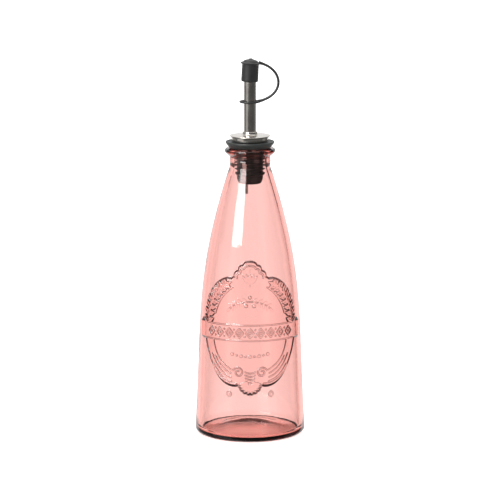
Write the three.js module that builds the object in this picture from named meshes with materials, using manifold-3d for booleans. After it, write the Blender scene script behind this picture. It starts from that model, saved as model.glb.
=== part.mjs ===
// A glass oil cruet for the table: a heavy glass bottle with an oval cartouche in relief, closed by a
// finned rubber stopper. The stopper carries a steel cover disc, a straight steel pouring spout and a
// thin vent tube. A rubber dust cap sits on the spout's tip, held to it by a strap and a loose ring.
//
// Millimetres, +Z up. The origin is on the bottle's axis, on the surface that it stands on.
// The cartouche faces -Y, and the cap's strap loops out towards +X.

import * as THREE from 'three';
import { mergeVertices } from 'three/addons/utils/BufferGeometryUtils.js';
import Module from 'manifold-3d';

const wasm = await Module();
wasm.setup();

// ---- Driving dimensions ----

const GAP = 0.3; // clearance between pieces that touch

// The glass
const BASE_RADIUS = 35.1;
const HEEL_ROUNDING = 3;
const GLASS_WALL = 3.2;
const FLOOR_Z = 2.3; // inner floor at its edge
const FLOOR_CROWN = 4.6; // how far the floor rises to its middle
const FLOOR_ROUNDING = 3.6;
const PUNT_RADIUS = 25; // hollow under the base
const PUNT_RISE = 4.2;
const SHOULDER_TOP_Z = 170;
const NECK_RADIUS = 12.9;
const NECK_BORE = 9.6;
const LIP_BOTTOM_Z = 177.9;
const LIP_TOP_Z = 183;
const LIP_RADIUS = 16.05;
const LIP_ROUNDING = 1.45;
const MOUTH_ROUNDING = 0.8;

// The cartouche in relief
const OVAL_MIDDLE_Z = 72.5;
const OVAL_HALF_HEIGHT = 34;
const OVAL_HALF_ANGLE = THREE.MathUtils.degToRad(56);
const OVAL_BEAD = 1.5;
const BANNER_BOTTOM_Z = 65;
const BANNER_HEIGHT = 11;
const BANNER_HALF_ANGLE = THREE.MathUtils.degToRad(67);
const BANNER_INNER_RADIUS = 31.2;
const BANNER_OUTER_RADIUS = 33.8;

// The stopper
const STOPPER_BOTTOM_Z = 160.3;
const STOPPER_TIP_RADIUS = 7.4;
const STOPPER_CORE_RADIUS = 8.2;
const STOPPER_TAPER = 3.2; // length of the tapered lower end
const FIN_RADIUS = NECK_BORE - GAP;
const FIN_THICKNESS = 1.2;
const FIN_PITCH = 3.6;
const FIN_COUNT = 3;
const PLUG_BAND_Z = 176.5; // the wide sealing band above the fins
const PLUG_BAND_HEIGHT = 3;
const FLANGE_SEAT_RADIUS = 11.5; // where its sloped underside leaves the lip
const FLANGE_BOTTOM_RADIUS = 14.6;
const FLANGE_BOTTOM_RISE = 1.4;
const FLANGE_TOP_RADIUS = 15.5;
const FLANGE_HEIGHT = 4;

// The steel cover disc
const DISC_RADIUS = 12.9;
const DISC_SKIRT_RADIUS = 11.5;
const DISC_SKIRT_HEIGHT = 2.9;
const DISC_RIM_HEIGHT = 0.7;
const DISC_HUB_RADIUS = 5;
const DISC_HUB_HEIGHT = 2.3;

// The spout and its vent
const SPOUT_RADIUS = 3.85;
const SPOUT_BORE = 3.35;
const SPOUT_TOP_Z = 234.2;
const VENT_RADIUS = 0.9;
const VENT_BORE = 0.55;
const VENT_OFFSET = -2.15;
const VENT_BOTTOM_Z = 153.5;
const VENT_TOP_Z = 200;

// The dust cap, its strap and its ring
const CAP_BOTTOM_Z = 225.2;
const CAP_RADIUS = 5.35;
const CAP_SOCKET = 4.45;
const CAP_SOCKET_DEPTH = 9.6;
const CAP_RIM_Z = 237;
const CAP_RIM_RADIUS = 6.2;
const CAP_RIM_HEIGHT = 0.9;
const CAP_NUB_RADIUS = 1;
const CAP_TOP_Z = 240.2;
const CAP_LEAN = THREE.MathUtils.degToRad(3);
const RING_Z = 212.3;
const RING_RADIUS = 5.7;
const RING_THICKNESS = 1.4;
const RING_OFFSET = -0.4;
const STRAP_THICKNESS = 1.4;
const STRAP_WIDTH = 2;

// ---- Shared helpers ----

const glassLook = new THREE.MeshStandardMaterial({ color: 0xe8a39a, roughness: 0.05, metalness: 0 });
const rubberLook = new THREE.MeshStandardMaterial({ color: 0x2b2b2a, roughness: 0.75, metalness: 0 });
const sealLook = new THREE.MeshStandardMaterial({ color: 0x3e4543, roughness: 0.7, metalness: 0 });
const steelLook = new THREE.MeshStandardMaterial({ color: 0xb9b4ae, roughness: 0.2, metalness: 1 });

// A point of an outline: its distance from the axis and its height.
function point(radius, z) {
  return new THREE.Vector2(radius, z);
}

// Points round a circle's arc in an outline, between two angles in degrees.
function arc(radius, z, rounding, from, to, steps) {
  const [start, end] = [from, to].map(THREE.MathUtils.degToRad);
  return new THREE.EllipseCurve(radius, z, rounding, rounding, start, end, end < start).getPoints(steps);
}

// Points along a soft bend in an outline, from start to end with its corner between them.
function bend(start, corner, end, steps) {
  return new THREE.QuadraticBezierCurve(start, corner, end).getPoints(steps);
}

// Turns an outline, closed on itself or on the axis, round the Z axis.
function turned(outline, sides) {
  const steps = outline.filter((place, i) => i === 0 || place.distanceTo(outline[i - 1]) > 1e-6);
  const geometry = new THREE.LatheGeometry(steps, sides);
  geometry.rotateX(Math.PI / 2);
  return geometry;
}

// Extrudes a flat section along a curve.
function swept(section, curve, steps) {
  return new THREE.ExtrudeGeometry(section, { steps, extrudePath: curve, curveSegments: 3 });
}

function toSolid(geometry) {
  const bare = new THREE.BufferGeometry();
  bare.setAttribute('position', geometry.getAttribute('position'));
  bare.setIndex(geometry.getIndex());
  const merged = mergeVertices(bare, 1e-4);
  const corners = Array.from(merged.getIndex().array);
  const triVerts = [];
  for (let i = 0; i < corners.length; i += 3) {
    const [a, b, c] = corners.slice(i, i + 3);
    if (a !== b && b !== c && c !== a) {
      triVerts.push(a, b, c);
    }
  }
  return new wasm.Manifold(new wasm.Mesh({
    numProp: 3,
    vertProperties: merged.getAttribute('position').array,
    triVerts: Uint32Array.from(triVerts),
  }));
}

function toGeometry(solid) {
  const { vertProperties, triVerts } = solid.getMesh();
  const geometry = new THREE.BufferGeometry();
  geometry.setAttribute('position', new THREE.BufferAttribute(vertProperties, 3));
  geometry.setIndex(new THREE.BufferAttribute(triVerts, 1));
  return geometry;
}

function piece(name, geometry, look) {
  const mesh = new THREE.Mesh(geometry, look);
  mesh.name = name;
  return mesh;
}

// ---- The glass bottle ----

// The wall's outline from the heel up to the neck, moved inwards by a thickness.
function wallCurve(inset) {
  return new THREE.CubicBezierCurve(
    new THREE.Vector2(BASE_RADIUS - inset, HEEL_ROUNDING),
    new THREE.Vector2(30.7 - inset, 77),
    new THREE.Vector2(35.4 - inset, 101.3),
    new THREE.Vector2(13.4 - inset, SHOULDER_TOP_Z),
  );
}

// The outside radius of the wall at a height, by halving the curve's parameter.
function wallRadiusAt(z) {
  const curve = wallCurve(0);
  let low = 0;
  let high = 1;
  for (let i = 0; i < 30; i += 1) {
    const middle = (low + high) / 2;
    if (curve.getPoint(middle).y < z) {
      low = middle;
    } else {
      high = middle;
    }
  }
  return curve.getPoint(low).x;
}

// Runs from the middle of the base, up the outside, over the lip and down the inside.
function bottleOutline() {
  const inner = wallCurve(GLASS_WALL);
  const innerFoot = point(inner.v0.x, FLOOR_Z + FLOOR_ROUNDING);
  const footMiddle = BASE_RADIUS - HEEL_ROUNDING;
  const floorEdge = point(inner.v0.x - FLOOR_ROUNDING, FLOOR_Z);
  const crown = point(0, FLOOR_Z + FLOOR_CROWN);
  const lipMiddle = LIP_RADIUS - LIP_ROUNDING;
  const mouthEdge = NECK_BORE + MOUTH_ROUNDING;
  const neckFoot = SHOULDER_TOP_Z + 4;
  const shoulder = wallCurve(0).v3;
  return [
    ...bend(point(0, PUNT_RISE), point(PUNT_RADIUS * 0.6, PUNT_RISE), point(PUNT_RADIUS, 0), 5),
    ...arc(footMiddle, HEEL_ROUNDING, HEEL_ROUNDING, -90, 0, 5),
    ...wallCurve(0).getPoints(14),
    ...bend(shoulder, point(NECK_RADIUS, SHOULDER_TOP_Z + 1.5), point(NECK_RADIUS, neckFoot), 3),
    point(NECK_RADIUS, LIP_BOTTOM_Z),
    ...arc(lipMiddle, LIP_TOP_Z - LIP_ROUNDING, LIP_ROUNDING, -45, 90, 6),
    ...arc(mouthEdge, LIP_TOP_Z - MOUTH_ROUNDING, MOUTH_ROUNDING, 90, 180, 3),
    point(NECK_BORE, neckFoot),
    ...new THREE.CubicBezierCurve(inner.v3, inner.v2, inner.v1, innerFoot).getPoints(12),
    ...bend(innerFoot, point(inner.v0.x, FLOOR_Z), floorEdge, 4),
    ...bend(floorEdge, point(inner.v0.x / 2, crown.y), crown, 4),
  ];
}

// One half of the oval moulding, laid on the wall. Side is 1 for the upper half and -1 for the lower.
function ovalMoulding(side) {
  const points = [];
  const count = 12;
  for (let i = 0; i <= count; i += 1) {
    const turn = Math.PI * (i / count);
    const across = OVAL_HALF_ANGLE * Math.cos(turn);
    const z = OVAL_MIDDLE_Z + side * OVAL_HALF_HEIGHT * Math.sin(turn);
    const radius = wallRadiusAt(z);
    points.push(new THREE.Vector3(radius * Math.sin(across), -radius * Math.cos(across), z));
  }
  const section = new THREE.Shape().absarc(0, 0, OVAL_BEAD, 0, Math.PI * 2, false);
  return toSolid(swept(section, new THREE.CatmullRomCurve3(points), 24));
}

// The banner that crosses the oval, as a band bent round the wall.
function banner() {
  const front = -Math.PI / 2;
  const section = new THREE.Shape();
  section.absarc(0, 0, BANNER_OUTER_RADIUS, front - BANNER_HALF_ANGLE, front + BANNER_HALF_ANGLE, false);
  section.absarc(0, 0, BANNER_INNER_RADIUS, front + BANNER_HALF_ANGLE, front - BANNER_HALF_ANGLE, true);
  const band = new THREE.ExtrudeGeometry(section, {
    depth: BANNER_HEIGHT,
    bevelEnabled: false,
    curveSegments: 16,
  });
  band.translate(0, 0, BANNER_BOTTOM_Z);
  return toSolid(band);
}

function glassBottle() {
  const shell = toSolid(turned(bottleOutline(), 48));
  const bottle = shell.add(ovalMoulding(1)).add(ovalMoulding(-1)).add(banner());
  return piece('glass_bottle', toGeometry(bottle), glassLook);
}

// ---- The pourer ----

const FLANGE_Z = LIP_TOP_Z + GAP;
const DISC_Z = FLANGE_Z + FLANGE_HEIGHT + GAP;

// The fins below the sealing band: sloped underneath to enter the neck, square above to grip it.
function finOutline() {
  const outline = [];
  for (let i = FIN_COUNT; i > 0; i -= 1) {
    const top = PLUG_BAND_Z + FIN_THICKNESS - i * FIN_PITCH;
    outline.push(
      point(STOPPER_CORE_RADIUS, top - FIN_THICKNESS - 0.5),
      point(FIN_RADIUS, top - FIN_THICKNESS / 3),
      point(FIN_RADIUS, top),
      point(STOPPER_CORE_RADIUS, top),
    );
  }
  return outline;
}

function rubberStopper() {
  const bore = SPOUT_RADIUS + GAP;
  const bandTop = PLUG_BAND_Z + PLUG_BAND_HEIGHT;
  const flangeTop = FLANGE_Z + FLANGE_HEIGHT;
  const throat = STOPPER_CORE_RADIUS + 0.5;
  const outline = [
    point(bore, STOPPER_BOTTOM_Z),
    ...arc(STOPPER_TIP_RADIUS - 0.8, STOPPER_BOTTOM_Z + 0.8, 0.8, -90, 0, 3),
    point(STOPPER_CORE_RADIUS, STOPPER_BOTTOM_Z + STOPPER_TAPER),
    ...finOutline(),
    point(STOPPER_CORE_RADIUS, PLUG_BAND_Z - 0.6),
    point(FIN_RADIUS, PLUG_BAND_Z),
    point(FIN_RADIUS, bandTop),
    point(throat, bandTop + 0.5),
    point(throat, FLANGE_Z),
    point(FLANGE_SEAT_RADIUS, FLANGE_Z),
    point(FLANGE_BOTTOM_RADIUS, FLANGE_Z + FLANGE_BOTTOM_RISE),
    point(FLANGE_TOP_RADIUS, flangeTop - 0.8),
    point(FLANGE_TOP_RADIUS, flangeTop - 0.3),
    point(FLANGE_TOP_RADIUS - 0.3, flangeTop),
    point(bore, flangeTop),
    point(bore, STOPPER_BOTTOM_Z),
  ];
  return piece('rubber_stopper', turned(outline, 36), sealLook);
}

function steelDisc() {
  const bore = SPOUT_RADIUS + GAP;
  const rimBottom = DISC_Z + DISC_SKIRT_HEIGHT;
  const rimTop = rimBottom + DISC_RIM_HEIGHT;
  const hubTop = rimTop + DISC_HUB_HEIGHT;
  const edge = DISC_RIM_HEIGHT / 2;
  const hubFoot = point(DISC_HUB_RADIUS + 0.5, rimTop);
  const outline = [
    point(bore, DISC_Z),
    point(DISC_SKIRT_RADIUS, DISC_Z),
    point(DISC_SKIRT_RADIUS, rimBottom),
    ...arc(DISC_RADIUS - edge, rimBottom + edge, edge, -90, 90, 4),
    ...bend(hubFoot, point(DISC_HUB_RADIUS, rimTop), point(DISC_HUB_RADIUS, rimTop + 0.5), 2),
    point(DISC_HUB_RADIUS, hubTop - 0.3),
    point(DISC_HUB_RADIUS - 0.3, hubTop),
    point(bore, hubTop),
    point(bore, DISC_Z),
  ];
  return piece('steel_disc', turned(outline, 36), steelLook);
}

// A plain tube round the Z axis, between two heights.
function tube(radius, bore, bottom, top, sides) {
  return turned([
    point(bore, bottom),
    point(radius, bottom),
    point(radius, top),
    point(bore, top),
    point(bore, bottom),
  ], sides);
}

function spoutTube() {
  const bottom = STOPPER_BOTTOM_Z + 0.5;
  return piece('spout_tube', tube(SPOUT_RADIUS, SPOUT_BORE, bottom, SPOUT_TOP_Z, 32), steelLook);
}

function ventTube() {
  const vent = piece('vent_tube', tube(VENT_RADIUS, VENT_BORE, VENT_BOTTOM_Z, VENT_TOP_Z, 16), steelLook);
  vent.position.x = VENT_OFFSET;
  return vent;
}

// ---- The dust cap and its tether ----

// The cap leans a little, towards the strap that pulls on it, about a point low in its socket.
function dustCap() {
  const socketTop = CAP_BOTTOM_Z + CAP_SOCKET_DEPTH;
  const pivotZ = CAP_BOTTOM_Z + CAP_SOCKET_DEPTH / 2;
  const coneFoot = point(CAP_RADIUS, CAP_RIM_Z + CAP_RIM_HEIGHT);
  const nubFoot = point(CAP_NUB_RADIUS, CAP_TOP_Z - 0.6);
  const outline = [
    point(0, socketTop),
    point(CAP_SOCKET, socketTop),
    point(CAP_SOCKET, CAP_BOTTOM_Z),
    point(CAP_RADIUS - 0.6, CAP_BOTTOM_Z),
    point(CAP_RADIUS, CAP_BOTTOM_Z + 0.7),
    point(CAP_RADIUS, CAP_RIM_Z),
    point(CAP_RIM_RADIUS, CAP_RIM_Z + 0.3),
    point(CAP_RIM_RADIUS, CAP_RIM_Z + CAP_RIM_HEIGHT - 0.3),
    ...bend(coneFoot, point(CAP_NUB_RADIUS + 2.2, CAP_TOP_Z - 0.8), nubFoot, 4),
    ...bend(nubFoot, point(CAP_NUB_RADIUS, CAP_TOP_Z), point(0, CAP_TOP_Z), 3),
  ];
  const shell = turned(outline, 32);
  shell.translate(0, 0, -pivotZ);
  const cap = piece('dust_cap', shell, rubberLook);
  cap.position.z = pivotZ;
  cap.rotation.y = CAP_LEAN;
  return cap;
}

function strapRing() {
  const torus = new THREE.TorusGeometry(RING_RADIUS, RING_THICKNESS / 2, 10, 36);
  const ring = piece('strap_ring', torus, rubberLook);
  ring.position.set(RING_OFFSET, 0, RING_Z);
  return ring;
}

function capStrap() {
  const route = new THREE.CubicBezierCurve3(
    new THREE.Vector3(6.9, 0, 237.1),
    new THREE.Vector3(21, 0, 233),
    new THREE.Vector3(22.5, 0, 216.5),
    new THREE.Vector3(RING_OFFSET + RING_RADIUS + RING_THICKNESS / 2 + GAP, 0, RING_Z + 0.4),
  );
  const section = new THREE.Shape();
  section.absellipse(0, 0, STRAP_WIDTH / 2, STRAP_THICKNESS / 2, 0, Math.PI * 2, false);
  return piece('cap_strap', swept(section, route, 24), rubberLook);
}

// ---- The whole cruet ----

const pourer = new THREE.Group();
pourer.add(rubberStopper(), steelDisc(), spoutTube(), ventTube());

const tether = new THREE.Group();
tether.add(strapRing(), capStrap(), dustCap());

const group = new THREE.Group();
group.add(glassBottle(), pourer, tether);

export default group;
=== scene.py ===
"""A glass oil cruet: a pink pressed-glass bottle with an oval cartouche in relief, closed by a finned
rubber stopper that carries a steel disc, a straight steel spout, a vent tube and a tethered dust cap.

Lengths in the outlines are millimetres, and MM turns them into metres."""

import math

import bpy
import numpy as np
from mathutils import Matrix, Vector


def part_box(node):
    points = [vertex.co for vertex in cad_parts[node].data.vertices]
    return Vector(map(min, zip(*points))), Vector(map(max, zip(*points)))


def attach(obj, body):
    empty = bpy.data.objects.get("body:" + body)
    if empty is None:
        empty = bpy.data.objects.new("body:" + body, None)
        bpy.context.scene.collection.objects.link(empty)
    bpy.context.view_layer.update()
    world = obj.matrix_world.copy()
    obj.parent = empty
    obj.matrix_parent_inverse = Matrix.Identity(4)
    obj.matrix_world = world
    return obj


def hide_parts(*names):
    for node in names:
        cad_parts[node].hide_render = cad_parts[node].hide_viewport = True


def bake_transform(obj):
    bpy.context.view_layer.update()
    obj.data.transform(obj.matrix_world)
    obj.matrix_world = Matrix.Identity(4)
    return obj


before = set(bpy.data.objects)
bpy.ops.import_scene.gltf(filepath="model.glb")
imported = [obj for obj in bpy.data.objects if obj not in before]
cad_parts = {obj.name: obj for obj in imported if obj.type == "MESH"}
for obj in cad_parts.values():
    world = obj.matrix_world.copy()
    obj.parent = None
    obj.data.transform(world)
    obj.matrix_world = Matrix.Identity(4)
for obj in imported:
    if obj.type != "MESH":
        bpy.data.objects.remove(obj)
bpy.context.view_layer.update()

MM = 0.001


def corner(node, side):
    """A CAD node's lowest (0) or highest (1) corner, in millimetres."""
    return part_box(node)[side] / MM


# ---- Sizes taken from the frame ----

BASE_RADIUS = corner("glass_bottle", 1).x
LIP_TOP = corner("glass_bottle", 1).z
STOPPER_BOTTOM = corner("rubber_stopper", 0).z
FLANGE_RADIUS = corner("rubber_stopper", 1).x
FLANGE_TOP = corner("rubber_stopper", 1).z
DISC_BOTTOM = corner("steel_disc", 0).z
DISC_TOP = corner("steel_disc", 1).z
DISC_RADIUS = corner("steel_disc", 1).x
SPOUT_RADIUS = corner("spout_tube", 1).x
SPOUT_BOTTOM = corner("spout_tube", 0).z
SPOUT_TOP = corner("spout_tube", 1).z
VENT_RADIUS = (corner("vent_tube", 1).x - corner("vent_tube", 0).x) / 2
VENT_X = (corner("vent_tube", 1).x + corner("vent_tube", 0).x) / 2
VENT_BOTTOM = corner("vent_tube", 0).z
VENT_TOP = corner("vent_tube", 1).z
CAP_BOTTOM = corner("dust_cap", 0).z
RING_MIDDLE = (corner("strap_ring", 1).x + corner("strap_ring", 0).x) / 2
RING_OUTER = (corner("strap_ring", 1).x - corner("strap_ring", 0).x) / 2
RING_Z = (corner("strap_ring", 1).z + corner("strap_ring", 0).z) / 2


# ---- The bottle's own sizes ----

HEEL = 3.0  # the rounding between the foot and the wall
GLASS_WALL = 3.2
SHOULDER_TOP = 170
NECK_RADIUS = 12.9
NECK_BORE = 9.6
BORE_TOP, BORE_FOOT = 178, 174
FLOOR = 2.3  # the inside floor's height at its edge
FLOOR_CROWN = 4.6  # how far the floor domes up above that
FLOOR_BEND = 3.6
PUNT_RADIUS = 27.5  # the hollow under the base
PUNT_RISE = 4.4
FOOT_RADIUS = 29.5


# ---- Outlines: points of (distance from the axis, height) ----

def bezier(start, first, second, end, steps):
    """Points along a cubic curve, both ends included."""
    t = np.linspace(0, 1, steps + 1)[:, None]
    ends = (1 - t) ** 3 * np.array(start) + t**3 * np.array(end)
    pulls = 3 * (1 - t) ** 2 * t * np.array(first) + 3 * (1 - t) * t * t * np.array(second)
    return [tuple(place) for place in ends + pulls]


def bend(start, middle, end, steps):
    """Points along a soft corner, both ends included."""
    t = np.linspace(0, 1, steps + 1)[:, None]
    curve = (1 - t) ** 2 * np.array(start) + 2 * (1 - t) * t * np.array(middle) + t * t * np.array(end)
    return [tuple(place) for place in curve]


def arc(across, z, radius, start, end, steps):
    """Points round a circle, between two angles in degrees."""
    turns = np.radians(np.linspace(start, end, steps + 1))
    return [(across + radius * math.cos(a), z + radius * math.sin(a)) for a in turns]


def rounded(corners, steps=4):
    """An outline through corners of (across, z, rounding), with each corner cut to a soft bend."""
    outline = []
    for i, (across, z, rounding) in enumerate(corners):
        here = np.array((across, z))
        if rounding == 0:
            outline.append((across, z))
            continue
        before = np.array(corners[i - 1][:2]) - here
        after = np.array(corners[(i + 1) % len(corners)][:2]) - here
        start = here + before / np.linalg.norm(before) * rounding
        end = here + after / np.linalg.norm(after) * rounding
        outline += bend(start, here, end, steps)
    return outline


# ---- Modelling ----

def only(piece):
    """Leaves one piece selected and active, in object mode."""
    bpy.ops.object.select_all(action="DESELECT")
    piece.select_set(True)
    bpy.context.view_layer.objects.active = piece


def clean(name, piece, smooth_angle):
    """Merges what meets, turns the faces outwards and shades the piece, which is in edit mode."""
    bpy.ops.mesh.select_all(action="SELECT")
    bpy.ops.mesh.remove_doubles(threshold=2e-6)
    bpy.ops.mesh.dissolve_degenerate(threshold=1e-7)
    bpy.ops.mesh.select_all(action="SELECT")
    bpy.ops.mesh.normals_make_consistent(inside=False)
    bpy.ops.object.mode_set(mode="OBJECT")
    piece.name = name
    piece.data.name = name
    bpy.ops.object.shade_smooth_by_angle(angle=math.radians(smooth_angle))
    return piece


def turn(name, outline, sweeps=((96, 360),), start=0, smooth_angle=40):
    """Draws an outline by extruding one vertex along it, and spins it round the Z axis.
    Each sweep is (steps, degrees), and start is the outline's own angle round the axis."""
    bpy.ops.object.select_all(action="DESELECT")
    bpy.ops.mesh.primitive_plane_add(size=MM)
    piece = bpy.context.object
    bpy.ops.object.mode_set(mode="EDIT")
    bpy.ops.mesh.merge(type="CENTER")
    ways = math.cos(math.radians(start)), math.sin(math.radians(start))
    last_across, last_z = 0, 0
    for i, (across, z) in enumerate(outline):
        step = (across - last_across) * MM
        move = (step * ways[0], step * ways[1], (z - last_z) * MM)
        if i == 0:
            bpy.ops.transform.translate(value=move)
        else:
            bpy.ops.mesh.extrude_region_move(TRANSFORM_OT_translate={"value": move})
        last_across, last_z = across, z
    bpy.ops.mesh.select_all(action="SELECT")
    for steps, degrees in sweeps:
        bpy.ops.mesh.spin(steps=steps, angle=math.radians(degrees), center=(0, 0, 0), axis=(0, 0, 1))
    return clean(name, piece, smooth_angle)


# ---- The cartouche, as heights over the unrolled wall ----

OUTLINE_STEP = 0.4
PLATE_HEIGHT = 1.6
WIDE_EDGE, SIDE_EDGE, CREST_EDGE = 2.3, 1.8, 1.1  # widths of the plate's sloped edge
EDGE_HEIGHTS, EDGE_WIDTHS = (45, 70, 96, 107), (WIDE_EDGE, SIDE_EDGE, SIDE_EDGE, CREST_EDGE)
RIDGE_SPREAD, RIDGE_LIFT = 1.2, 1.7  # how much wider and higher a ridge stands than it is drawn
LEAF_GROOVE = 0.35


def between(first, second, share):
    """The line that runs a share of the way from one line to another with as many points."""
    return [(a + (c - a) * share, b + (d - b) * share) for (a, b), (c, d) in zip(first, second)]


def from_line(across, z, start, end):
    """How far places are from the straight line between two points."""
    along_x, along_z = end[0] - start[0], end[1] - start[1]
    length = max(along_x * along_x + along_z * along_z, 1e-12)
    t = np.clip(((across - start[0]) * along_x + (z - start[1]) * along_z) / length, 0, 1)
    return np.hypot(across - start[0] - t * along_x, z - start[1] - t * along_z)


def dense(outline):
    """A closed outline with points no further apart than a step."""
    points = []
    for start, end in zip(outline, outline[1:] + outline[:1]):
        count = max(1, math.ceil(math.dist(start, end) / OUTLINE_STEP))
        for i in range(count):
            share = i / count
            points.append((start[0] + (end[0] - start[0]) * share, start[1] + (end[1] - start[1]) * share))
    return points


def encloses(outline, across, z):
    """Whether places lie inside a closed outline."""
    inside = np.zeros(np.shape(across), bool)
    for (x0, z0), (x1, z1) in zip(outline, outline[1:] + outline[:1]):
        if z0 != z1:
            crosses = (z0 > z) != (z1 > z)
            inside ^= crosses & (across < x0 + (z - z0) * (x1 - x0) / (z1 - z0))
    return inside


class Plate:
    """The raised ground of the cartouche: several closed outlines joined into one, with a sloped edge.
    Both halves are alike, so only the edges where across is positive are kept."""

    def __init__(self, outlines):
        self.outlines = [dense(outline) for outline in outlines]
        self.edges = []
        for outline in self.outlines:
            others = [other for other in self.outlines if other is not outline]
            for start, end in zip(outline, outline[1:] + outline[:1]):
                middle = (start[0] + end[0]) / 2, (start[1] + end[1]) / 2
                hidden = middle[0] < 0 or any(encloses(other, *middle) for other in others)
                if not hidden:
                    self.edges.append((start, end))

    def away(self, across, z, reach):
        """How far each place is from the edge, up to a reach."""
        best = np.full(across.shape, float(reach))
        for start, end in self.edges:
            beside = np.abs(across - (start[0] + end[0]) / 2) < reach + OUTLINE_STEP
            level = np.abs(z - (start[1] + end[1]) / 2) < reach + OUTLINE_STEP
            places = np.flatnonzero(beside & level)
            best[places] = np.minimum(best[places], from_line(across[places], z[places], start, end))
        return best

    def height(self, across, z):
        """From 0 on the wall to 1 on the plate. The edge is widest at the foot, narrowest at the crest."""
        across = np.abs(across)
        away = self.away(across, z, WIDE_EDGE)
        inside = np.zeros(across.shape, bool)
        for outline in self.outlines:
            inside |= encloses(outline, across, z)
        width = np.interp(z, EDGE_HEIGHTS, EDGE_WIDTHS)
        part = np.clip(0.5 + np.where(inside, away, -away) / width, 0, 1)
        # Mostly a straight slope, eased at its top and foot
        return 0.7 * part + 0.3 * part * part * (3 - 2 * part)


class Relief:
    """Heights over the wall, in millimetres. The wall is unrolled, so across runs round it from the middle
    of the front. Both halves are alike, so a shape is drawn once, on the half where across is positive."""

    def __init__(self, across, z):
        self.across = np.abs(across)
        self.z = z
        self.detail = np.zeros_like(z)

    def near(self, points, reach):
        """The places within reach of some points' box."""
        low = np.min(points, axis=0) - reach
        high = np.max(points, axis=0) + reach
        inside = (self.across >= low[0]) & (self.across <= high[0])
        return np.flatnonzero(inside & (self.z >= low[1]) & (self.z <= high[1]))

    def distance(self, places, points):
        """How far each place is from a line through points."""
        best = np.full(len(places), np.inf)
        for start, end in zip(points[:-1], points[1:]):
            best = np.minimum(best, from_line(self.across[places], self.z[places], start, end))
        return best

    def lift(self, places, heights):
        """Raises places to some heights, where they aren't higher already."""
        self.detail[places] = np.maximum(self.detail[places], heights)

    def ridge(self, points, half_width, height):
        """A round ridge along a line."""
        half_width, height = half_width * RIDGE_SPREAD, height * RIDGE_LIFT
        places = self.near(points, half_width)
        part = np.clip(self.distance(places, points) / half_width, 0, 1)
        self.lift(places, height * np.sqrt(1 - part**2))

    def bead(self, across, z, radius, height):
        """A round drop."""
        self.ridge([(across, z), (across, z)], radius, height)

    def blade(self, foot, tip, width, height, vein=0.45):
        """A leaf from foot to tip: a pointed lens, fullest near its foot, with a groove along it."""
        foot, tip = np.array(foot), np.array(tip)
        way = tip - foot
        length = np.hypot(*way)
        way = way / length
        places = self.near([foot, tip], width)
        from_foot = self.across[places] - foot[0], self.z[places] - foot[1]
        along = np.clip((from_foot[0] * way[0] + from_foot[1] * way[1]) / length, 0, 1)
        aside = np.abs(from_foot[1] * way[0] - from_foot[0] * way[1])
        half = width / 2 * np.sin(math.pi * along**0.8) + 1e-3
        swell = np.sqrt(np.clip(1 - (aside / half) ** 2, 0, 1))
        self.lift(places, height * swell * (1 - vein * np.exp(-((aside / LEAF_GROOVE) ** 2))))


OVAL_SIDE = 32.6
BANNER_LOW, BANNER_HIGH = 64.8, 76.0
BANNER_END = 37.4
LOZENGE_PITCH = 6.4
SHELL_MIDDLE = 38.6
SHELL_RADIUS = 7.4
CREST_TOP = 115.2
CREST_FOOT = 103.5
FLUTES_FOOT = 101.4
VOLUTE = (7.2, 45.4)
SIDE_MARK = (13.6, 31)
PAST_MIDDLE = -3  # where outlines close, beyond the middle that both halves share


def outer_upper(steps=24):
    """The oval's outer edge above the banner, from the banner up to the crest."""
    return bezier((OVAL_SIDE, BANNER_HIGH), (32, 90), (26, 101.5), (14.5, 104.6), steps)


def outer_lower(steps=24):
    """The oval's outer edge below the banner, from the banner down to the shell."""
    return bezier((31.8, BANNER_LOW), (29.5, 54), (21, 34.5), (8, 36.8), steps)


def inner_upper(steps=20):
    """The border's inner edge above the banner."""
    return bezier((23.6, BANNER_HIGH), (22.5, 86), (17, 95), (10.5, 99), steps)


def inner_lower(steps=20):
    """The border's inner edge below the banner."""
    return bezier((23.8, BANNER_LOW), (22.5, 56), (18, 50), (10.2, 46.6), steps)


def crest_edge():
    """The crest's outline: a small dome, and scallops that step down beside it."""
    dome = bezier((0, CREST_TOP), (2.4, CREST_TOP), (3.8, 114.4), (4.3, 112.9), 8)
    upper = bezier((4.3, 112.9), (6.3, 112.9), (7.4, 111.2), (7.1, 109.5), 8)
    lower = bezier((7.1, 109.5), (9.2, 109.3), (10.5, 107.4), (9.8, 105.4), 8)
    foot = bezier((9.8, 105.4), (11.8, 105.2), (12.4, 103.6), (11.2, 101.4), 8)
    return dome + upper[1:] + lower[1:] + foot[1:]


def shell_edge():
    """The fan's scalloped edge: round lobes from just past its lowest point up to its side."""
    lobes, steps, depth = 5, 6, 0.75
    start, end = -112, -8
    points = []
    for i in range(lobes * steps + 1):
        angle = math.radians(start + (end - start) * i / (lobes * steps))
        reach = SHELL_RADIUS - depth + depth * abs(math.sin(math.pi * (i / steps)))
        points.append((reach * math.cos(angle), SHELL_MIDDLE + reach * math.sin(angle)))
    return points


def plate():
    """The whole cartouche's ground: the oval, the banner, the crest and the shell."""
    low, high = BANNER_LOW, BANNER_HIGH
    oval = [(PAST_MIDDLE, CREST_FOOT)] + outer_upper()[::-1] + outer_lower() + [(PAST_MIDDLE, SHELL_MIDDLE)]
    band = [(PAST_MIDDLE, low), (BANNER_END, low), (BANNER_END, high), (PAST_MIDDLE, high)]
    top = [(PAST_MIDDLE, CREST_TOP)] + crest_edge() + [(PAST_MIDDLE, 98)]
    fan_top = [(6.6, SHELL_MIDDLE + 1), (PAST_MIDDLE, SHELL_MIDDLE + 3)]
    return Plate([oval, band, top, [(PAST_MIDDLE, SHELL_MIDDLE)] + shell_edge() + fan_top])


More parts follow.
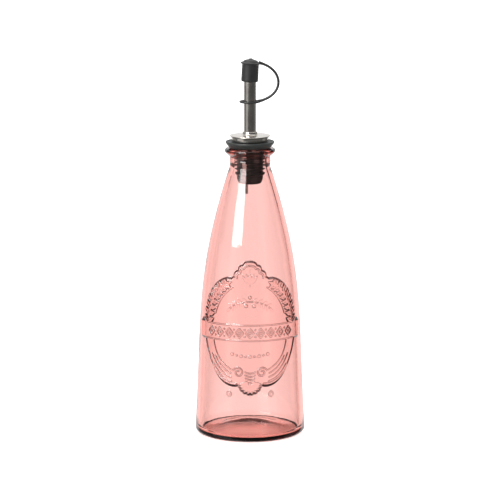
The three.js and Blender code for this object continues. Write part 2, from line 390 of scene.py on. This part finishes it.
def crest(relief):
    """Fluting inside the crest, under a rib that follows its outline."""
    inset = [(across * 0.8, 103 + (z - 103) * 0.8) for across, z in crest_edge()[:25]]
    relief.ridge(inset, 0.45, 0.28)
    reach = 7.2
    for angle in (90, 70, 50):
        tip = reach * math.cos(math.radians(angle)), FLUTES_FOOT + reach * math.sin(math.radians(angle))
        relief.blade((tip[0] * 0.2, FLUTES_FOOT - 0.2), tip, 2.1, 0.4, 0.3)


def garland(relief):
    """Laurel leaves in two rows along the upper half of the border, with berries between them."""
    outer = outer_upper(8)
    inner = inner_upper(8)
    stem = between(outer, inner, 0.5)
    relief.ridge(stem, 0.5, 0.3)
    for here, ahead, rim, hem in zip(stem[:-1], stem[1:], outer[1:], inner[1:]):
        on = np.array(ahead) - np.array(here)
        out = (np.array(rim) - np.array(ahead)) * 1.12
        inward = (np.array(hem) - np.array(ahead)) * 0.92
        relief.blade(here, np.array(here) + on * 0.75 + out, 4.4, 1.0)
        relief.blade(here, np.array(here) + on * 0.75 + inward, 3.6, 0.8)
        relief.blade(here, np.array(here) + on * 1.5, 2.6, 0.8)
        relief.bead(*(np.array(here) + out * 0.45 + on * 0.05), 0.75, 0.5)


def banner(relief):
    """A straight band with square ends, and a row of lozenges and beads along it."""
    low, high = BANNER_LOW, BANNER_HIGH
    for z in (low + 0.7, high - 0.7):
        relief.ridge([(-1, z), (29.5, z)], 0.4, 0.22)
    middle = (low + high) / 2
    half_width, half_height = 2.3, 2.9
    for i in range(5):
        across = LOZENGE_PITCH * i
        diamond = [(across, middle + half_height), (across + half_width, middle)]
        diamond += [(across, middle - half_height), (across - half_width, middle)]
        relief.ridge(diamond + diamond[:1], 0.42, 0.3)
        relief.bead(across, middle, 0.7, 0.35)
        if i < 4:
            relief.bead(across + LOZENGE_PITCH / 2, middle + 2.2, 0.55, 0.28)
            relief.bead(across + LOZENGE_PITCH / 2, middle - 2.2, 0.55, 0.28)


def field(relief):
    """Inside the oval: an olive sprig above the banner, and a rule of beads below it."""
    stem = bezier((-1, 90.4), (4, 90.4), (9, 89), (12.5, 85.8), 10)
    relief.ridge(stem, 0.35, 0.25)
    for i in (2, 4, 6, 8):
        place = np.array(stem[i])
        on = np.array(stem[i + 1]) - place
        aside = np.array((-on[1], on[0]))
        for side in (2.0, -2.0):
            relief.blade(place, place + on * 1.6 + aside * side, 1.5, 0.32, 0.3)
    relief.blade(stem[-2], (15.2, 82.8), 1.5, 0.32, 0.3)
    relief.bead(2.4, 87.7, 1.0, 0.36)
    relief.bead(0, 93.0, 0.9, 0.36)
    for i in range(5):
        across = 2.7 * i
        relief.bead(across, 55.6 + 0.012 * across**2, 0.62 if i % 2 else 0.95, 0.3)


def border(relief):
    """The border's inner line, and in its lower half long scrolled lines, a volute and short bars. The lines
    stop short of the fan."""
    outer = outer_lower(24)
    inner = inner_lower(24)
    relief.ridge(inner, 0.42, 0.25)
    relief.ridge(inner_upper(20)[4:], 0.42, 0.25)
    for share, first in ((0.28, 11), (0.52, 7), (0.76, 9)):
        relief.ridge(between(outer, inner, share)[first:23], 0.42, 0.26)
    relief.ridge(between(outer, inner, 0.14), 0.55, 0.3)
    spiral = []
    for i in range(19):
        turn_angle = math.radians(40 + 24 * i)
        reach = 3.3 * (1 - i / 25)
        spiral.append((VOLUTE[0] + reach * math.cos(turn_angle), VOLUTE[1] + reach * math.sin(turn_angle)))
    relief.ridge(spiral, 0.42, 0.34)
    for i in range(4):
        z = VOLUTE[1] - 2.0 * i
        half = 3.0 - 0.15 * i
        bar = bezier((-1, z - 0.5), (1, z - 0.5), (half - 1, z - 0.3), (half, z + 0.4), 6)
        relief.ridge(bar, 0.4, 0.28)


def shell(relief):
    """The ribs of the fan at the foot, which spread from its top."""
    for i in range(5):
        angle = math.radians(-90 + 19.5 * i)
        ways = np.array((math.cos(angle), math.sin(angle)))
        middle = np.array((0, SHELL_MIDDLE + 0.6))
        relief.blade(middle + ways * 1.4, middle + ways * 7.9, 2.2, 0.42, 0)


def side_marks(relief):
    """Two plain round marks below the cartouche, each a ring round a dot."""
    for radius in (1.5, 0.5):
        turns = np.linspace(0, math.tau, 17)
        ring = [(SIDE_MARK[0] + radius * math.cos(a), SIDE_MARK[1] + radius * math.sin(a)) for a in turns]
        relief.ridge(ring, 0.35, 0.25)


def ornament(across, z):
    """The height of the ornament above the cartouche's ground, at each place on the wall."""
    relief = Relief(across, z)
    for carve in (crest, garland, banner, field, border, shell, side_marks):
        carve(relief)
    return relief.detail


# ---- The glass bottle ----

WALL = ((BASE_RADIUS, HEEL), (30.7, 77), (35.4, 101.3), (13.4, SHOULDER_TOP))
RELIEF_LOW, RELIEF_HIGH = 28, 118
FRONT_HALF_ANGLE = 70
FRONT_RADIUS = 33
COARSE_GRID = 1.0
FINE_CUTS = 3
PROBE = 0.6  # how far round a face an ornament is looked for
LEVEL_ENOUGH, STEEP = 0.04, 0.16  # how slanted the wall is where the painted edge shade starts, and the rise to its darkest


def wall_radius(z):
    """The outside radius of the smooth wall at a height."""
    curve = np.array(bezier(*WALL, 600))
    return np.interp(z, curve[:, 1], curve[:, 0])


def wall(low, high, steps):
    """Points up the smooth wall between two heights."""
    heights = np.linspace(low, high, steps + 1)
    return list(zip(wall_radius(heights), heights))


def bottle_outline():
    """From the base's middle up the outside, over the lip, and down the inside to the floor's crown."""
    inset = [(across - GLASS_WALL, z) for across, z in WALL]
    side = inset[0][0]
    foot = (side, FLOOR + FLOOR_BEND)
    floor_edge = (side - FLOOR_BEND, FLOOR)
    crown = FLOOR + FLOOR_CROWN
    relief_rows = round((RELIEF_HIGH - RELIEF_LOW) / COARSE_GRID)
    neck_start = (NECK_RADIUS + 0.65, SHOULDER_TOP - 0.8)
    return [
        *bezier((0, PUNT_RISE), (13, PUNT_RISE), (PUNT_RADIUS - 8, 0), (PUNT_RADIUS, 0), 16),
        (FOOT_RADIUS, 0),
        *arc(BASE_RADIUS - HEEL, HEEL, HEEL, -90, 0, 9),
        *wall(HEEL, RELIEF_LOW, 10)[1:],
        *wall(RELIEF_LOW, RELIEF_HIGH, relief_rows)[1:],
        *wall(RELIEF_HIGH, SHOULDER_TOP - 1.5, 24)[1:],
        *bend(neck_start, (NECK_RADIUS, SHOULDER_TOP + 1), (NECK_RADIUS, SHOULDER_TOP + 2.2), 5),
        *bend((NECK_RADIUS, 174.4), (NECK_RADIUS + 0.45, 175), (NECK_RADIUS, 175.6), 4),
        *bend((NECK_RADIUS, 177), (NECK_RADIUS, 178.4), (NECK_RADIUS + 1.2, 178.9), 4),
        *arc(14.6, LIP_TOP - 1.5, 1.5, -62, 90, 10),
        *bend((10.9, LIP_TOP), (NECK_BORE, LIP_TOP), (NECK_BORE, LIP_TOP - 1.4), 5),
        (NECK_BORE, BORE_TOP),
        (NECK_BORE, BORE_FOOT),
        *bezier(inset[3], inset[2], inset[1], foot, 40),
        *bend(foot, (side, FLOOR), floor_edge, 8)[1:],
        *bezier(floor_edge, (side - 12, FLOOR), (13, crown), (0, crown), 16)[1:],
    ]


def refine_front(bottle, ground):
    """Divides the outer wall finely where the cartouche has an edge or an ornament."""
    only(bottle)
    bpy.ops.object.mode_set(mode="EDIT")
    bpy.ops.mesh.select_all(action="DESELECT")
    bpy.ops.object.mode_set(mode="OBJECT")
    middles = np.array([face.center for face in bottle.data.polygons]) / MM
    x, y, z = middles.T
    radius = np.hypot(x, y)
    across = np.abs(radius * np.arctan2(x, -y))
    outside = (radius > wall_radius(z) - GLASS_WALL / 2) & (y < 0) & (z > RELIEF_LOW) & (z < RELIEF_HIGH)
    near_edge = ground.away(across, z, WIDE_EDGE) < WIDE_EDGE
    ornate = np.zeros(len(z), bool)
    for step_across, step_z in ((0, 0), (PROBE, 0), (-PROBE, 0), (0, PROBE), (0, -PROBE)):
        ornate |= ornament(across + step_across, z + step_z) > 0
    bottle.data.polygons.foreach_set("select", outside & (near_edge | ornate))
    bpy.ops.object.mode_set(mode="EDIT")
    bpy.ops.mesh.select_mode(type="FACE")
    bpy.ops.mesh.subdivide(number_cuts=FINE_CUTS)
    bpy.ops.mesh.select_mode(type="VERT")
    bpy.ops.object.mode_set(mode="OBJECT")


def read_vectors(items, field_name):
    """One vector of each of a mesh's items, as rows."""
    values = np.empty(len(items) * 3)
    items.foreach_get(field_name, values)
    return values.reshape(-1, 3)


def raise_cartouche(bottle, ground):
    """Moves the front of the outer wall outwards, by the height of the cartouche at each place, and marks
    where the wall is steep, for painted shade that darkens the relief's sloped edges."""
    mesh = bottle.data
    places = read_vectors(mesh.vertices, "co")
    x, y, z = (places / MM).T
    radius = np.hypot(x, y)
    outside = radius > wall_radius(z) - GLASS_WALL / 2
    front = outside & (y < 0) & (z > RELIEF_LOW) & (z < RELIEF_HIGH)
    angle = np.arctan2(x, -y)[front]
    height = z[front]
    across = wall_radius(height) * angle
    reach = wall_radius(height) + PLATE_HEIGHT * ground.height(across, height) + ornament(across, height)
    places[front] = np.stack((reach * np.sin(angle), -reach * np.cos(angle), height), axis=1) * MM
    mesh.vertices.foreach_set("co", places.ravel())
    mesh.update()
    normals = read_vectors(mesh.vertex_normals, "vector")
    facing = normals[front, 0] * np.sin(angle) - normals[front, 1] * np.cos(angle)
    # Painted shade: a mark, 0 to 1, that darkens the glass where the relief's sides slope steeply, for the
    # dark outlines that bent light draws there
    dust = np.zeros(len(mesh.vertices))
    dust[front] = np.clip((1 - facing - LEVEL_ENOUGH) / STEEP, 0, 1)
    mesh.attributes.new("dust", "FLOAT", "POINT").data.foreach_set("value", dust)


def glass_bottle():
    """The whole bottle, spun in a fine sweep over the cartouche and a coarse one round the back."""
    front_steps = round(math.radians(2 * FRONT_HALF_ANGLE) * FRONT_RADIUS / COARSE_GRID)
    sweeps = ((front_steps, 2 * FRONT_HALF_ANGLE), (60, 360 - 2 * FRONT_HALF_ANGLE))
    bottle = turn("bottle_glass", bottle_outline(), sweeps, FRONT_HALF_ANGLE - 90, 60)
    ground = plate()
    refine_front(bottle, ground)
    raise_cartouche(bottle, ground)
    return bottle


# ---- The pourer ----

STOPPER_CORE = 8.2
SEALING_BAND = 176.5
FIN_PITCH, FIN_THICKNESS = 3.6, 1.2
SKIRT_RADIUS = 11.7


def stopper():
    """The finned rubber bung, with its flange on the lip."""
    bore = SPOUT_RADIUS + 0.15
    grip = NECK_BORE - 0.12
    core = STOPPER_CORE
    throat = core + 0.5
    corners = [
        (bore, STOPPER_BOTTOM, 0.3),
        (6.9, STOPPER_BOTTOM, 0.9),
        (7.6, STOPPER_BOTTOM + 1.6, 0.6),
        (core, STOPPER_BOTTOM + 3.2, 0.5),
    ]
    for i in (3, 2, 1):
        top = SEALING_BAND + FIN_THICKNESS - i * FIN_PITCH
        corners += [
            (core, top - 1.6, 0.3),
            (grip, top - 0.5, 0.25),
            (grip, top, 0.2),
            (core, top + 0.1, 0.2),
        ]
    corners += [
        (core, SEALING_BAND - 0.6, 0.3),
        (grip, SEALING_BAND, 0.4),
        (grip, SEALING_BAND + 3, 0.4),
        (throat, SEALING_BAND + 3.7, 0.3),
        (throat, LIP_TOP + 0.1, 0.3),
        (11.5, LIP_TOP + 0.2, 0.4),
        (13.2, LIP_TOP + 0.5, 0.3),
        (FLANGE_RADIUS - 0.35, FLANGE_TOP - 1.3, 0.3),
        (FLANGE_RADIUS, FLANGE_TOP - 0.9, 0.15),
        (FLANGE_RADIUS - 0.1, FLANGE_TOP, 0.2),
        (FLANGE_RADIUS - 1.4, FLANGE_TOP, 0.2),
        (FLANGE_RADIUS - 1.8, FLANGE_TOP - 0.35, 0.2),
        (bore, FLANGE_TOP - 0.35, 0.2),
    ]
    outline = rounded(corners)
    return turn("stopper_rubber", outline + outline[:1], ((96, 360),))


def cover_disc():
    """The pressed steel cover: a narrow skirt, a rolled rim, a gently domed top and a raised hub."""
    bore = SPOUT_RADIUS + 0.08
    rim = DISC_BOTTOM + 2.9
    corners = [
        (bore, DISC_BOTTOM, 0),
        (SKIRT_RADIUS, DISC_BOTTOM, 0.3),
        (SKIRT_RADIUS + 0.2, rim - 0.2, 0.25),
        (DISC_RADIUS - 0.1, rim, 0.25),
        (DISC_RADIUS + 0.2, rim + 0.3, 0.2),
        (DISC_RADIUS - 0.1, rim + 0.65, 0.25),
        (8.0, rim + 0.95, 1.5),
        (5.4, rim + 1.05, 0.5),
        (4.8, rim + 1.7, 0.35),
        (4.7, DISC_TOP - 0.25, 0.25),
        (4.3, DISC_TOP, 0.15),
        (bore, DISC_TOP - 0.3, 0.1),
    ]
    outline = rounded(corners, 6)
    return turn("cover_disc", outline + outline[:1], ((128, 360),))


def tube(name, radius, bore, bottom, top, x=0):
    """A drawn tube with softly broken ends."""
    corners = [(bore, bottom, 0.12), (radius, bottom, 0.15), (radius, top, 0.15), (bore, top, 0.12)]
    outline = rounded(corners)
    piece = turn(name, outline + outline[:1], ((64, 360),))
    piece.data.transform(Matrix.Translation((x * MM, 0, 0)))
    return piece


# ---- The dust cap and its tether ----

CAP_LEAN = math.radians(3)
CAP_PIVOT = CAP_BOTTOM + 4.8
RING_THICKNESS = 1.4
STRAP_THICKNESS, STRAP_WIDTH = 1.7, 2.0
STRAP_ROOT = (5.4, 237.0)  # where it leaves the cap


def dust_cap():
    """The rubber cup on the spout's tip, with a thin rim and a low cone on top. It leans to the strap."""
    corners = [
        (0, CAP_BOTTOM + 9.75, 0),
        (4.1, CAP_BOTTOM + 9.75, 0.4),
        (4.3, CAP_BOTTOM + 0.6, 0.4),
        (4.7, CAP_BOTTOM + 0.1, 0.2),
        (5.1, CAP_BOTTOM + 0.15, 0.25),
        (5.4, CAP_BOTTOM + 1.0, 0.4),
        (5.3, CAP_BOTTOM + 11.0, 0.3),
        (6.25, CAP_BOTTOM + 11.5, 0.2),
        (6.4, CAP_BOTTOM + 12.2, 0.2),
        (5.0, CAP_BOTTOM + 12.4, 0.3),
        (4.2, CAP_BOTTOM + 13.5, 0.8),
        (1.5, CAP_BOTTOM + 14.25, 0.7),
        (0.8, CAP_BOTTOM + 14.8, 0.3),
        (0, CAP_BOTTOM + 14.9, 0),
    ]
    cap = turn("dust_cap_rubber", rounded(corners), ((64, 360),))
    only(cap)
    bpy.ops.object.mode_set(mode="EDIT")
    bpy.ops.mesh.select_all(action="SELECT")
    bpy.ops.transform.rotate(
        value=-CAP_LEAN, orient_axis="Y", orient_type="GLOBAL", center_override=(0, 0, CAP_PIVOT * MM)
    )
    bpy.ops.object.mode_set(mode="OBJECT")
    return cap


def tether_ring():
    """The loose ring round the spout."""
    bpy.ops.object.select_all(action="DESELECT")
    bpy.ops.mesh.primitive_torus_add(
        major_segments=72, minor_segments=16,
        major_radius=(RING_OUTER - RING_THICKNESS / 2) * MM, minor_radius=RING_THICKNESS / 2 * MM,
    )
    ring = bpy.context.object
    bpy.ops.object.mode_set(mode="EDIT")
    bpy.ops.mesh.select_all(action="SELECT")
    bpy.ops.transform.translate(value=(RING_MIDDLE * MM, 0, RING_Z * MM))
    return clean("tether_ring", ring, 60)


def tether_strap():
    """The strap that holds the cap, from the cap down to the ring: an oval cord, thicker at both ends."""
    route = bezier(STRAP_ROOT, (21.5, 233.4), (22.8, 216.2), (4.6, RING_Z + 0.1), 72)
    bpy.ops.object.select_all(action="DESELECT")
    bpy.ops.mesh.primitive_circle_add(vertices=16, radius=0.5 * MM, fill_type="NGON")
    strap = bpy.context.object
    count = len(route)
    rings = []
    for i, (x, z) in enumerate(route):
        ahead = route[min(i + 1, count - 1)]
        behind = route[max(i - 1, 0)]
        way = np.array(ahead) - np.array(behind)
        way = way / np.linalg.norm(way)
        share = min(i, count - 1 - i) / (count - 1)
        swell = 1 + 0.35 * math.exp(-((share / 0.05) ** 2))
        rings.append((x, z, way, swell))
    return strap_from_rings(strap, rings)


def strap_from_rings(strap, rings):
    """Extrudes the strap's end face from one place on its route to the next, and turns it to follow.
    The face it starts from is a millimetre across. Each ring is (x, z, way, swell)."""
    bpy.ops.object.mode_set(mode="EDIT")
    bpy.ops.mesh.select_all(action="SELECT")
    x, z, way, swell = rings[0]
    bpy.ops.transform.resize(value=(STRAP_THICKNESS * swell, STRAP_WIDTH * swell, 1))
    angle = math.atan2(way[0], way[1])
    bpy.ops.transform.rotate(value=-angle, orient_axis="Y", orient_type="GLOBAL", center_override=(0, 0, 0))
    bpy.ops.transform.translate(value=(x * MM, 0, z * MM))
    for (x0, z0, way0, swell0), (x1, z1, way1, swell1) in zip(rings[:-1], rings[1:]):
        move = ((x1 - x0) * MM, 0, (z1 - z0) * MM)
        bpy.ops.mesh.extrude_region_move(TRANSFORM_OT_translate={"value": move})
        turned = math.atan2(way1[0], way1[1]) - math.atan2(way0[0], way0[1])
        here = (x1 * MM, 0, z1 * MM)
        bpy.ops.transform.rotate(value=-turned, orient_axis="Y", orient_type="GLOBAL", center_override=here)
        grow = swell1 / swell0
        bpy.ops.transform.resize(value=(grow, grow, grow), center_override=here)
    return clean("tether_strap", strap, 50)


# ---- Finishes ----

# Base colours of the glass: clear, and the near-black maroon of the painted shade on the relief's steep edges
UNSHADED_GLASS = (1, 1, 1, 1)
SHADED_EDGE_GLASS = (0.035, 0.010, 0.009, 1)
GLASS_TINT = (0.91, 0.12, 0.0, 1)  # the glass takes out what this colour lacks
STEEL_TINT = (1.0, 0.94, 0.87)


class Number:
    """A number that varies over a surface. Sums with it add the nodes that work them out."""

    def __init__(self, finish, socket):
        self.finish = finish
        self.socket = socket

    def join(self, operation, first, second):
        """The result of a Math node on two numbers."""
        node = self.finish.node("ShaderNodeMath", {"operation": operation}, {0: first, 1: second})
        return Number(self.finish, node.outputs[0])

    def __add__(self, other):
        return self.join("ADD", self, other)

    __radd__ = __add__

    def __mul__(self, other):
        return self.join("MULTIPLY", self, other)

    __rmul__ = __mul__

    def __sub__(self, other):
        return self.join("SUBTRACT", self, other)

    def __rsub__(self, other):
        return self.join("SUBTRACT", other, self)

    def __pow__(self, other):
        return self.join("POWER", self, other)


class Nodes:
    """A node tree. One method adds any node, and feed() joins or sets any socket."""

    def __init__(self, tree):
        self.tree = tree
        tree.nodes.clear()

    def node(self, kind, settings=None, inputs=None):
        """Adds a node of a type, with its settings first and then its sockets' values or links."""
        node = self.tree.nodes.new(kind)
        for name, value in (settings or {}).items():
            if name == "stops":
                self.set_stops(node.color_ramp, value)
            else:
                setattr(node, name, value)
        for name, value in (inputs or {}).items():
            self.feed(node.inputs[name], value)
        return node

    def set_stops(self, ramp, stops):
        """Gives a colour ramp its stops of (position, colour)."""
        while len(ramp.elements) < len(stops):
            ramp.elements.new(0.5)
        for element, (position, colour) in zip(ramp.elements, stops):
            element.position = position
            element.color = colour

    def feed(self, socket, value):
        """Links a socket to a number or a socket, or sets it to a plain value."""
        if isinstance(value, Number):
            value = value.socket
        if isinstance(value, bpy.types.NodeSocket):
            self.tree.links.new(value, socket)
        else:
            socket.default_value = value


class Finish(Nodes):
    """A material made of nodes round one Principled shader."""

    def __init__(self, name, **sockets):
        self.material = bpy.data.materials.new(name)
        self.material.use_nodes = True
        super().__init__(self.material.node_tree)
        self.output = self.node("ShaderNodeOutputMaterial")
        self.shader = self.node("ShaderNodeBsdfPrincipled")
        self.feed(self.output.inputs["Surface"], self.shader.outputs[0])
        self.place = self.node("ShaderNodeTexCoord").outputs["Object"]
        for socket, value in sockets.items():
            self.set(socket.replace("_", " "), value)

    def set(self, socket, value):
        """Feeds one of the shader's sockets by name."""
        self.feed(self.shader.inputs[socket], value)

    def noise(self, scale, detail=2.0, roughness=0.5, stretch=(1, 1, 1)):
        """Soft noise, with scale in waves to the metre, from 0 to 1."""
        spread = self.node("ShaderNodeMapping", {}, {"Vector": self.place, "Scale": stretch})
        inputs = {"Vector": spread.outputs[0], "Scale": scale, "Detail": detail, "Roughness": roughness}
        return Number(self, self.node("ShaderNodeTexNoise", {}, inputs).outputs[0])

    def bump(self, height, distance, strength=1.0):
        """Roughens the surface by a height, with distance in metres."""
        inputs = {"Height": height, "Distance": distance, "Strength": strength}
        self.set("Normal", self.node("ShaderNodeBump", {}, inputs).outputs[0])

    def colours(self, value, stops):
        """Colours the surface by a number, through stops of (number, colour)."""
        ramp = self.node("ShaderNodeValToRGB", {"stops": stops}, {"Fac": value})
        self.set("Base Color", ramp.outputs[0])


def pink_glass():
    """Recycled pressed glass: pink through its thickness, with a faintly uneven, fire-polished skin, and
    painted shade in patches on the steep sides of the relief, which darkens its outlines."""
    finish = Finish("pink_glass", IOR=1.5, Transmission_Weight=1.0)
    # Painted shade: the steep-edge mark, broken into patches by noise, darkens the base colour towards
    # near-black maroon
    dust = Number(finish, finish.node("ShaderNodeAttribute", {"attribute_name": "dust"}).outputs["Fac"])
    patchy_painted_shade = dust * (0.8 + 0.4 * finish.noise(400))
    finish.colours(patchy_painted_shade, [(0.0, UNSHADED_GLASS), (1.0, SHADED_EDGE_GLASS)])
    finish.set("Roughness", 0.004 + 0.012 * finish.noise(90))
    finish.bump(finish.noise(55, 1.5) + 0.15 * finish.noise(260, 1.0), 0.0004, 0.35)
    body = finish.node("ShaderNodeVolumeAbsorption", {}, {"Color": GLASS_TINT, "Density": 108.0})
    finish.feed(finish.output.inputs["Volume"], body.outputs[0])
    return finish.material


def rubber(name, dark, light, roughness):
    """Moulded rubber: a fine grain, faint bloom in patches, and a dull sheen."""
    finish = Finish(name, IOR=1.5, Sheen_Weight=0.05)
    bloom = finish.noise(320, 4, 0.6)
    finish.colours(bloom, [(0.3, (*dark, 1)), (0.75, (*light, 1))])
    finish.set("Roughness", roughness + 0.16 * (finish.noise(700, 3) - 0.5))
    finish.bump(finish.noise(5200, 3, 0.6) + 0.6 * finish.noise(900, 2), 0.00004, 0.5)
    return finish.material


def polished_steel(name, stretch, grain, brightness):
    """Stainless steel polished over fine tool lines, with faint handling marks."""
    finish = Finish(name, Metallic=1.0)
    lines = finish.noise(grain, 2, 0.6, stretch)
    smudges = finish.noise(140, 4, 0.6)
    dull, bright = (
        (*(level * part for part in STEEL_TINT), 1) for level in (brightness, brightness + 0.1)
    )
    finish.colours(smudges, [(0.3, dull), (0.7, bright)])
    finish.set("Roughness", 0.1 + 0.1 * lines + 0.08 * smudges)
    finish.bump(lines, 0.00002, 0.5)
    return finish.material


# ---- Assembly ----

def dress(piece, material, body, node):
    """Gives a piece its finish, hides the CAD node that it stands for, and attaches it to the body that it
    rides on, if it has just one."""
    piece.data.materials.clear()
    piece.data.materials.append(material)
    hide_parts(node)
    if body:
        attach(piece, body)


glass = pink_glass()
seal_rubber = rubber("seal_rubber", (0.014, 0.019, 0.017), (0.024, 0.030, 0.027), 0.50)
cap_rubber = rubber("cap_rubber", (0.010, 0.0095, 0.0095), (0.018, 0.017, 0.017), 0.46)
# One and the same steel: the tube's is painted darker and the disc's lighter, painted shade and painted light
# for how each catches the studio light
tube_steel = polished_steel("tube_steel", (1, 1, 0.05), 2600, 0.42)
disc_steel = polished_steel("disc_steel", (1, 1, 1), 1500, 0.58)

dress(glass_bottle(), glass, "bottle", "glass_bottle")
dress(stopper(), seal_rubber, "pourer", "rubber_stopper")
dress(cover_disc(), disc_steel, "pourer", "steel_disc")
spout = tube("pouring_spout", SPOUT_RADIUS, SPOUT_RADIUS - 0.5, SPOUT_BOTTOM, SPOUT_TOP)
dress(spout, tube_steel, "pourer", "spout_tube")
vent = tube("air_vent", VENT_RADIUS, VENT_RADIUS - 0.4, VENT_BOTTOM, VENT_TOP, VENT_X)
dress(vent, tube_steel, "pourer", "vent_tube")
dress(tether_ring(), cap_rubber, "tether", "strap_ring")
dress(dust_cap(), cap_rubber, "cap", "dust_cap")
strap = tether_strap()
dress(strap, cap_rubber, None, "cap_strap")
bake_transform(strap)


# ---- Studio ----

CAMERA_PLACE = (0, -1.70, 0.434)
CAMERA_DOWN = 10.55
SENSOR_WIDTH, LENS = 36, 195.9
WHITE, DARK = 1.25, 0.06

# Levels round the horizon: (degrees from +Y towards +X, level)
TENT = (
    (-180, DARK), (-150, DARK), (-140, WHITE), (-78, WHITE), (-74, DARK), (-60, DARK), (-56, WHITE),
    (40, WHITE), (48, DARK), (114, DARK), (118, WHITE), (152, WHITE), (156, DARK), (180, DARK),
)
PANEL = ((-180, 0), (-128, 0), (-122, 0.92), (-58, 0.92), (-52, 0), (180, 0))
ROOM = (
    (-180, 0.14), (-142, 0.14), (-134, 0.65), (-98, 0.65), (-90, 0.14), (-75, 0.3), (-50, 0.3),
    (-40, 1.0), (40, 1.0), (50, 0.12), (65, 0.12), (75, 0.3), (90, 0.3), (100, 0.12), (180, 0.14),
)

# Levels by height: -180 is straight down, 0 the horizon and 180 straight up
ROOF = ((-180, 0.6), (-104, 0.6), (-94, 1), (10, 1), (20, 0.1), (100, 0.1), (125, 0.8), (180, 0.8))
PANEL_HEIGHT = ((-180, 0), (-100, 0), (-90, 1), (-32, 1), (-26, 0), (180, 0))
OVERHEAD = ((-180, 0), (130, 0), (160, 1.2), (180, 1.2))


def floor():
    """A plain pale table that glows a little, so that it stays white. The glass doesn't show it, except for a
    patch under the bottle, whose dimmer pink glow is a painted shadow of the light that falls through the
    glass."""
    for name, radius, z in (("studio_floor", 6, -0.0004), ("painted_shadow_patch", 0.034, -0.0002)):
        bpy.ops.object.select_all(action="DESELECT")
        bpy.ops.mesh.primitive_circle_add(vertices=96, radius=radius, fill_type="NGON", location=(0, 0, z))
        ground = bpy.context.object
        ground.name = name
        ground.visible_glossy = False
        finish = Finish(name, Base_Color=(0.9, 0.9, 0.9, 1), Roughness=0.9)
        ground.data.materials.append(finish.material)
        if name == "studio_floor":
            ground.visible_transmission = False
            finish.set("Emission Color", (1, 1, 1, 1))
            finish.set("Emission Strength", 0.4)
        else:
            # Painted shadow: a dimmer, pink glow for the light that reaches the patch through the bottle's
            # glass
            finish.set("Emission Color", (0.8, 0.5, 0.46, 1))
            finish.set("Emission Strength", 0.8)


def softbox(name, place, aim, size, radiance, roll):
    """A rectangular soft light with an even glow, aimed at a point and rolled by an angle in degrees."""
    data = bpy.data.lights.new(name, "AREA")
    data.shape = "RECTANGLE"
    data.size, data.size_y = size
    data.energy = radiance * math.pi * size[0] * size[1]
    lamp = bpy.data.objects.new(name, data)
    bpy.context.scene.collection.objects.link(lamp)
    lamp.location = place
    lamp.visible_diffuse = False
    lamp.rotation_euler = (Vector(aim) - Vector(place)).to_track_quat("-Z", "Y").to_euler()
    lamp.rotation_euler.rotate_axis("Z", math.radians(roll))


def camera():
    """A long lens in front of the bottle, a little above it and looking slightly down."""
    data = bpy.data.cameras.new("camera")
    data.lens = LENS
    data.sensor_width = SENSOR_WIDTH
    eye = bpy.data.objects.new("camera", data)
    eye.location = CAMERA_PLACE
    eye.rotation_euler = (math.radians(90 - CAMERA_DOWN), 0, 0)
    bpy.context.scene.collection.objects.link(eye)
    bpy.context.scene.camera = eye


def levels(nodes, turn_share, stops):
    """A level that changes over a full turn, from stops of (degrees, level)."""
    greys = [((degrees + 180) / 360, (level, level, level, 1)) for degrees, level in stops]
    return Number(nodes, nodes.node("ShaderNodeValToRGB", {"stops": greys}, {"Fac": turn_share}).outputs[0])


def surroundings():
    """White all round, as in a light tent. Glass bends its light past dark screens between the white ones,
    a darker roof and a low panel in front, which draw its edges, and steel mirrors a darker room with a few
    bright strips."""
    world = bpy.data.worlds.new("studio")
    world.use_nodes = True
    nodes = Nodes(world.node_tree)
    way = nodes.node("ShaderNodeTexCoord").outputs["Generated"]
    parts = nodes.node("ShaderNodeSeparateXYZ", {}, {0: way}).outputs
    x, y, up = (Number(nodes, socket) for socket in parts)
    azimuth = x.join("ARCTAN2", x, y) * (1 / math.tau) + 0.5
    rise = up * 0.5 + 0.5
    rays = nodes.node("ShaderNodeLightPath").outputs
    bent = Number(nodes, rays["Is Transmission Ray"])
    scattered = Number(nodes, rays["Is Diffuse Ray"])
    mirrored = Number(nodes, rays["Is Glossy Ray"]) * (1 - bent)  # polished glass bends rays as glossy ones
    panel = levels(nodes, azimuth, PANEL) * levels(nodes, rise, PANEL_HEIGHT)
    through_glass = levels(nodes, azimuth, TENT) * levels(nodes, rise, ROOF) * (1 - panel)
    in_steel = levels(nodes, azimuth, ROOM) + levels(nodes, rise, OVERHEAD)
    level = 1 + scattered * 0.6 + bent * (through_glass - 1) + mirrored * (in_steel - 1)
    back = nodes.node("ShaderNodeBackground", {}, {"Color": (1, 1, 1, 1), "Strength": level})
    nodes.feed(nodes.node("ShaderNodeOutputWorld").inputs["Surface"], back.outputs[0])
    bpy.context.scene.world = world
    bpy.context.scene.view_settings.view_transform = "Standard"


floor()
softbox(
    "left_softbox", place=(-0.62, -0.72, 0.79), aim=(0, 0, 0.15), size=(0.66, 1.02), radiance=9.0, roll=6
)
camera()
surroundings()
